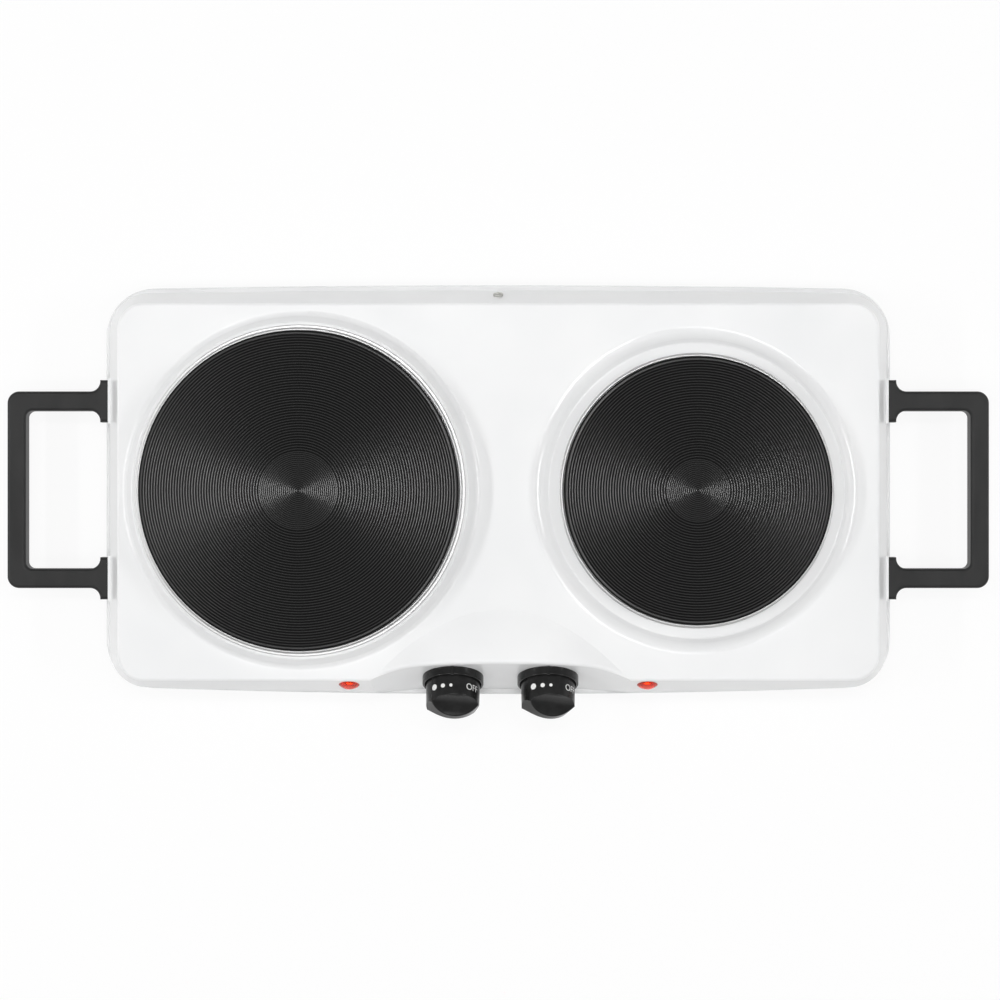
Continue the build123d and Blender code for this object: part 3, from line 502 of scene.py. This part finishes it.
def faced_mesh(name, under, front, front_radius, edge_round, rings, segments):
    """A round piece: an underside turned from (radius, height) points, a wall and a shaped front."""
    ROUND_STEPS = 4
    form = bmesh.new()
    angles = [2 * math.pi * step / segments for step in range(segments)]
    land = front_radius - edge_round

    def loop(radius, height_at):
        return [form.verts.new((radius * math.cos(a), radius * math.sin(a), height_at(a))) for a in angles]

    def rim(a):
        return front(land * math.cos(a), land * math.sin(a))

    loops = [loop(radius, lambda a: height) for radius, height in under[1:]]
    for step in range(ROUND_STEPS + 1):
        turn = math.pi / 2 * step / ROUND_STEPS
        sunk = edge_round * (1 - math.sin(turn))
        loops.append(loop(land + edge_round * math.cos(turn), lambda a: rim(a) - sunk))
    for step in range(rings - 1, 0, -1):
        radius = land * step / rings
        loops.append(loop(radius, lambda a: front(radius * math.cos(a), radius * math.sin(a))))
    for lower, upper in zip(loops, loops[1:]):
        for step in range(segments):
            after = (step + 1) % segments
            form.faces.new((lower[step], lower[after], upper[after], upper[step]))
    for ring, height in ((loops[0], under[0][1]), (loops[-1], front(0, 0))):
        middle = form.verts.new((0, 0, height))
        for step in range(segments):
            form.faces.new((ring[step], ring[(step + 1) % segments], middle))
    bmesh.ops.recalc_face_normals(form, faces=form.faces)
    return made_mesh(form, name)


inside = KNOB_FOOT_RADIUS - KNOB_WALL
under = [(0, KNOB_CEILING), (inside, KNOB_CEILING), (inside, KNOB_LIFT), (KNOB_FOOT_RADIUS, KNOB_LIFT)]
for hand, place in control_places.items():
    knob_mesh = faced_mesh(hand + "_grip_knob", under, knob_front, KNOB_FRONT_RADIUS, KNOB_EDGE_ROUND,
                           KNOB_RINGS, KNOB_SEGMENTS)
    turn = Matrix.Rotation(math.radians(knob_rests[hand] + BLADE_TURN), 4, "Z")
    knob = new_piece(hand + "_grip_knob", knob_mesh, glossy_black, place @ turn)
    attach(knob, hand + "_control")
    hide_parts(hand + "_knob")

# Knob marks: three dots that grow with the heat, and OFF, printed in white on each knob's wall. They are
# thin pads of ink bent round the wall, and turn with the knob.
white_ink, shader = new_finish("white_ink", (0.86, 0.86, 0.85), 0.0, 0.5)
vary_colour(white_ink, shader, grain(white_ink, 0.5 * MM), (0.80, 0.80, 0.79), (0.88, 0.88, 0.87))
INK = 0.03 * MM
MARK_HEIGHT = 10.9 * MM
dot_radii = {0.0: 0.95 * MM, -17.6: 1.28 * MM, -39.0: 1.8 * MM}
OFF_ANGLE = 51.0
OFF_SIZE = 5.5 * MM
OFF_THINNING = 0.04 * MM


def wrap_on_knob(point, angle):
    """Bends a flat point (across, up, out) round the knob's wall at an angle clockwise from its top."""
    height = MARK_HEIGHT - point.y
    taper = (KNOB_FOOT_RADIUS - KNOB_FRONT_RADIUS) * (height - KNOB_LIFT) / (KNOB_SHOULDER - KNOB_LIFT)
    radius = KNOB_FOOT_RADIUS - taper + point.z
    turn = math.radians(angle) + point.x / radius
    return Vector((radius * math.sin(turn), radius * math.cos(turn), height))


def dot_on_knob(form, angle, radius):
    """A round pad of ink with a crown of rings that follow the wall, and a rim that goes down into it."""
    CORNERS = 32
    CROWN = 4
    shares = [(1, -INK)] + [(step / CROWN, INK) for step in range(CROWN, 0, -1)]
    turns = [2 * math.pi * step / CORNERS for step in range(CORNERS)]
    rings = []
    for share, out in shares:
        flat = [Vector((share * radius * math.cos(t), share * radius * math.sin(t), out)) for t in turns]
        rings.append([form.verts.new(wrap_on_knob(point, angle)) for point in flat])
    middle = form.verts.new(wrap_on_knob(Vector((0, 0, INK)), angle))
    for step in range(CORNERS):
        after = (step + 1) % CORNERS
        for outer_ring, inner_ring in zip(rings, rings[1:]):
            form.faces.new((outer_ring[step], outer_ring[after], inner_ring[after], inner_ring[step]))
        form.faces.new((rings[-1][step], rings[-1][after], middle))
    form.faces.new(rings[0])


def word_on_knob(form, text, angle, size):
    """Lettering cut from the built-in plain typeface and bent round the wall."""
    letters = bpy.data.curves.new("knob_word", "FONT")
    letters.body = text
    letters.size = size
    letters.extrude = INK
    letters.offset = -OFF_THINNING
    letters.align_x = "CENTER"
    letters.align_y = "CENTER"
    flat = bpy.data.objects.new("knob_word", letters)
    word = bpy.data.meshes.new_from_object(flat)
    for vertex in word.vertices:
        vertex.co = wrap_on_knob(vertex.co, angle)
    form.from_mesh(word)
    bpy.data.objects.remove(flat)


for hand, place in control_places.items():
    form = bmesh.new()
    for angle, radius in dot_radii.items():
        dot_on_knob(form, angle, radius)
    word_on_knob(form, "OFF", OFF_ANGLE, OFF_SIZE)
    bmesh.ops.recalc_face_normals(form, faces=form.faces)
    marks_mesh = made_mesh(form, hand + "_knob_marks")
    turn = Matrix.Rotation(math.radians(knob_rests[hand]), 4, "Z")
    marks = new_piece(hand + "_knob_marks", marks_mesh, white_ink, place @ turn)
    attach(marks, hand + "_control")

# Screws that show: zinc-plated steel with domed heads and a pressed cross recess. One holds the housing to
# the base plate's rear tab, four hold the clamp bars from below, and one sits in the bore of each foot.
HEAD_DOME = 0.3
CROSS_REACH = 0.62
CROSS_ARM = 0.17
CROSS_SOFT = 0.08
CROSS_DEPTH = 0.6
HEAD_EDGE = 0.15
HEAD_RINGS = 32
HEAD_SEGMENTS = 72
REAR_HEAD_RADIUS = 2.9 * MM
REAR_HEAD_HEIGHT = 1.8 * MM
REAR_SHANK = 1.5 * MM
REAR_GRIP = 6.0 * MM
BASE_HEAD_RADIUS = 3.8 * MM
BASE_HEAD_HEIGHT = 2.2 * MM
BASE_SHANK = 2.0 * MM
BAR_GRIP = 6.2 * MM
FOOT_GRIP = 13.6 * MM
BAND_SLOPE = math.radians(24)
REAR_SEAT = Vector((0, 120.69 * MM, 33.0 * MM))
BAR_SCREW_REACH = {"large": 85.0 * MM, "small": 72.0 * MM}


def cross_head(radius, height):
    """The front of a screw head: a low dome with a cross sunk into it."""
    def front(across, along):
        reach = math.hypot(across, along) / radius
        arm = min(abs(across), abs(along)) / radius
        inside = min((CROSS_REACH - reach) / CROSS_SOFT, (CROSS_ARM - arm) / CROSS_SOFT)
        sunk = CROSS_DEPTH * min(max(inside, 0), 1)
        return height * (1 - HEAD_DOME * reach ** 2 - sunk)
    return front


def add_screws(name, node, places, head_radius, head_height, shank, grip):
    """Puts one piece made of like screws in the place of a node; a head points up its place's z axis."""
    under = [(0, -grip), (shank, -grip), (shank, 0), (head_radius, 0)]
    front = cross_head(head_radius, head_height)
    edge_round = HEAD_EDGE * head_radius
    screw = faced_mesh("screw", under, front, head_radius, edge_round, HEAD_RINGS, HEAD_SEGMENTS)
    screws = new_piece(name, copied_mesh(name, screw, places), plated, Matrix.Identity(4))
    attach(screws, "housing")
    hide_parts(node)


rear_place = Matrix.Translation(REAR_SEAT) @ Matrix.Rotation(BAND_SLOPE - math.pi / 2, 4, "X")
add_screws("rear_cross_screw", "rear_screw", [rear_place],
           REAR_HEAD_RADIUS, REAR_HEAD_HEIGHT, REAR_SHANK, REAR_GRIP)
downward = Matrix.Rotation(math.pi, 4, "X")
bar_places = [Matrix.Translation((axis.x + end * BAR_SCREW_REACH[size], axis.y, foot_height)) @ downward
              for size, axis in plate_axes.items() for end in (-1, 1)]
add_screws("base_cross_screws", "base_screws", bar_places,
           BASE_HEAD_RADIUS, BASE_HEAD_HEIGHT, BASE_SHANK, BAR_GRIP)
bore_places = [Matrix.Translation((x, y, bore_top)) @ downward for x, y in foot_places]
add_screws("foot_cross_screws", "foot_screws", bore_places,
           BASE_HEAD_RADIUS, BASE_HEAD_HEIGHT, BASE_SHANK, FOOT_GRIP)

# Pilot lamps: domed lenses of clear red plastic pushed through the front skirt, each with a small neon bulb
# glowing orange in a black holder behind it.
lens_red, shader = new_finish("red_lens", (0.82, 0.06, 0.015), 0.0, 0.08)
shader.inputs["Transmission Weight"].default_value = 0.75
shader.inputs["IOR"].default_value = 1.49
vary_roughness(lens_red, shader, grain(lens_red, 2 * MM), 0.06, 0.16)
dress(lens_red, "left_lamp_lens", "right_lamp_lens")
holder_black, shader = new_finish("lamp_holder_black", (0.03, 0.03, 0.03), 0.0, 0.5)
raise_grain(holder_black, shader, grain(holder_black, 0.5 * MM), 0.02 * MM)
dress(holder_black, "left_lamp_holder", "right_lamp_holder")
neon, shader = new_finish("lit_neon_bulb", (0.9, 0.5, 0.2), 0.0, 0.1)
shader.inputs["Emission Color"].default_value = (1.0, 0.55, 0.10, 1)
shader.inputs["Emission Strength"].default_value = 14.0
vary_roughness(neon, shader, grain(neon, 1 * MM), 0.05, 0.15)
dress(neon, "lamp_bulbs")

# Studio: a wide white paper floor in a white room with a grey ceiling. One broad softbox hangs overhead,
# with a strip light in front, behind and at each side, so that edges and grooves catch thin highlights.
FLOOR_HALF = 40.0
floor_mesh = bpy.data.meshes.new("studio_floor")
floor_corners = [(sx * FLOOR_HALF, sy * FLOOR_HALF, 0) for sx, sy in ((-1, -1), (1, -1), (1, 1), (-1, 1))]
floor_mesh.from_pydata(floor_corners, [], [(0, 1, 2, 3)])
floor = bpy.data.objects.new("studio_floor", floor_mesh)
bpy.context.scene.collection.objects.link(floor)


def seen_directly(tree):
    """1 where a camera, mirror or glass ray looks, and 0 for light that falls on the object."""
    path = tree.nodes.new("ShaderNodeLightPath")
    total = path.outputs["Is Camera Ray"]
    for other in ("Is Glossy Ray", "Is Transmission Ray"):
        larger = tree.nodes.new("ShaderNodeMath")
        larger.operation = "MAXIMUM"
        tree.links.new(total, larger.inputs[0])
        tree.links.new(path.outputs[other], larger.inputs[1])
        total = larger.outputs["Value"]
    return total


WHITENED = 0.88
paper, shader = new_finish("white_paper", (0.9, 0.9, 0.9), 0.0, 0.9)
tree = paper.node_tree
share = tree.nodes.new("ShaderNodeMath")
share.operation = "MULTIPLY"
share.inputs[1].default_value = WHITENED
tree.links.new(seen_directly(tree), share.inputs[0])
glow = add_node(paper, "ShaderNodeEmission", Color=(1, 1, 1, 1), Strength=1.0)
mix = tree.nodes.new("ShaderNodeMixShader")
tree.links.new(share.outputs["Value"], mix.inputs["Fac"])
tree.links.new(shader.outputs["BSDF"], mix.inputs[1])
tree.links.new(glow.outputs["Emission"], mix.inputs[2])
tree.links.new(mix.outputs["Shader"], tree.nodes["Material Output"].inputs["Surface"])
floor_mesh.materials.append(paper)

DOME_LEVEL = 0.30
COVE_TOP = 0.10
COVE_FADE = 0.30
world = bpy.data.worlds.new("studio_room")
world.use_nodes = True
bpy.context.scene.world = world
tree = world.node_tree
heading = tree.nodes.new("ShaderNodeTexCoord")
rise = tree.nodes.new("ShaderNodeSeparateXYZ")
tree.links.new(heading.outputs["Generated"], rise.inputs["Vector"])
cove = add_node(world, "ShaderNodeMapRange", From_Min=COVE_TOP, From_Max=COVE_FADE, To_Min=1,
                To_Max=DOME_LEVEL)
tree.links.new(rise.outputs["Z"], cove.inputs["Value"])
tree.links.new(cove.outputs["Result"], tree.nodes["Background"].inputs["Strength"])
tree.nodes["Background"].inputs["Color"].default_value = (1, 1, 1, 1)


def softbox(name, place, width, depth, power):
    """A soft rectangular light, in metres and watts, that faces the origin and hides from the camera."""
    light = bpy.data.lights.new(name, "AREA")
    light.shape = "RECTANGLE"
    light.size = width
    light.size_y = depth
    light.energy = power
    lamp = bpy.data.objects.new(name, light)
    lamp.location = place
    lamp.rotation_euler = (Vector((0, 0, 0)) - Vector(place)).to_track_quat("-Z", "Y").to_euler()
    lamp.visible_camera = False
    bpy.context.scene.collection.objects.link(lamp)


softbox("overhead_softbox", (0, 0, 2.3), width=1.4, depth=1.4, power=7)
softbox("front_softbox", (0, -0.6, 2.05), width=1.4, depth=0.3, power=6)
softbox("rear_softbox", (0, 0.52, 2.0), width=1.4, depth=0.18, power=9)
softbox("left_softbox", (-1.5, 0, 1.35), width=0.9, depth=0.08, power=10)
softbox("right_softbox", (1.5, 0, 1.35), width=0.9, depth=0.1, power=7.5)

# Camera: straight above the plates at 1.2 m from their tops, with a long lens as in catalogue work. It
# looks down plumb and is framed a little low, as the photograph is.
CAMERA_ABOVE_PLATES = 1.2
CAMERA_RIGHT = 0.45 * MM
CAMERA_REARWARD = 0.35 * MM
plate_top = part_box("large_hot_plate")[1].z
lens = bpy.data.cameras.new("overhead_camera")
lens.sensor_width = 36
lens.lens = 75
lens.shift_x = 0.001
lens.shift_y = -0.010
camera = bpy.data.objects.new("overhead_camera", lens)
camera_y = plate_axes["large"].y + CAMERA_REARWARD
camera.location = (CAMERA_RIGHT, camera_y, plate_top + CAMERA_ABOVE_PLATES)
bpy.context.scene.collection.objects.link(camera)
bpy.context.scene.camera = camera
bpy.context.scene.view_settings.view_transform = "Standard"
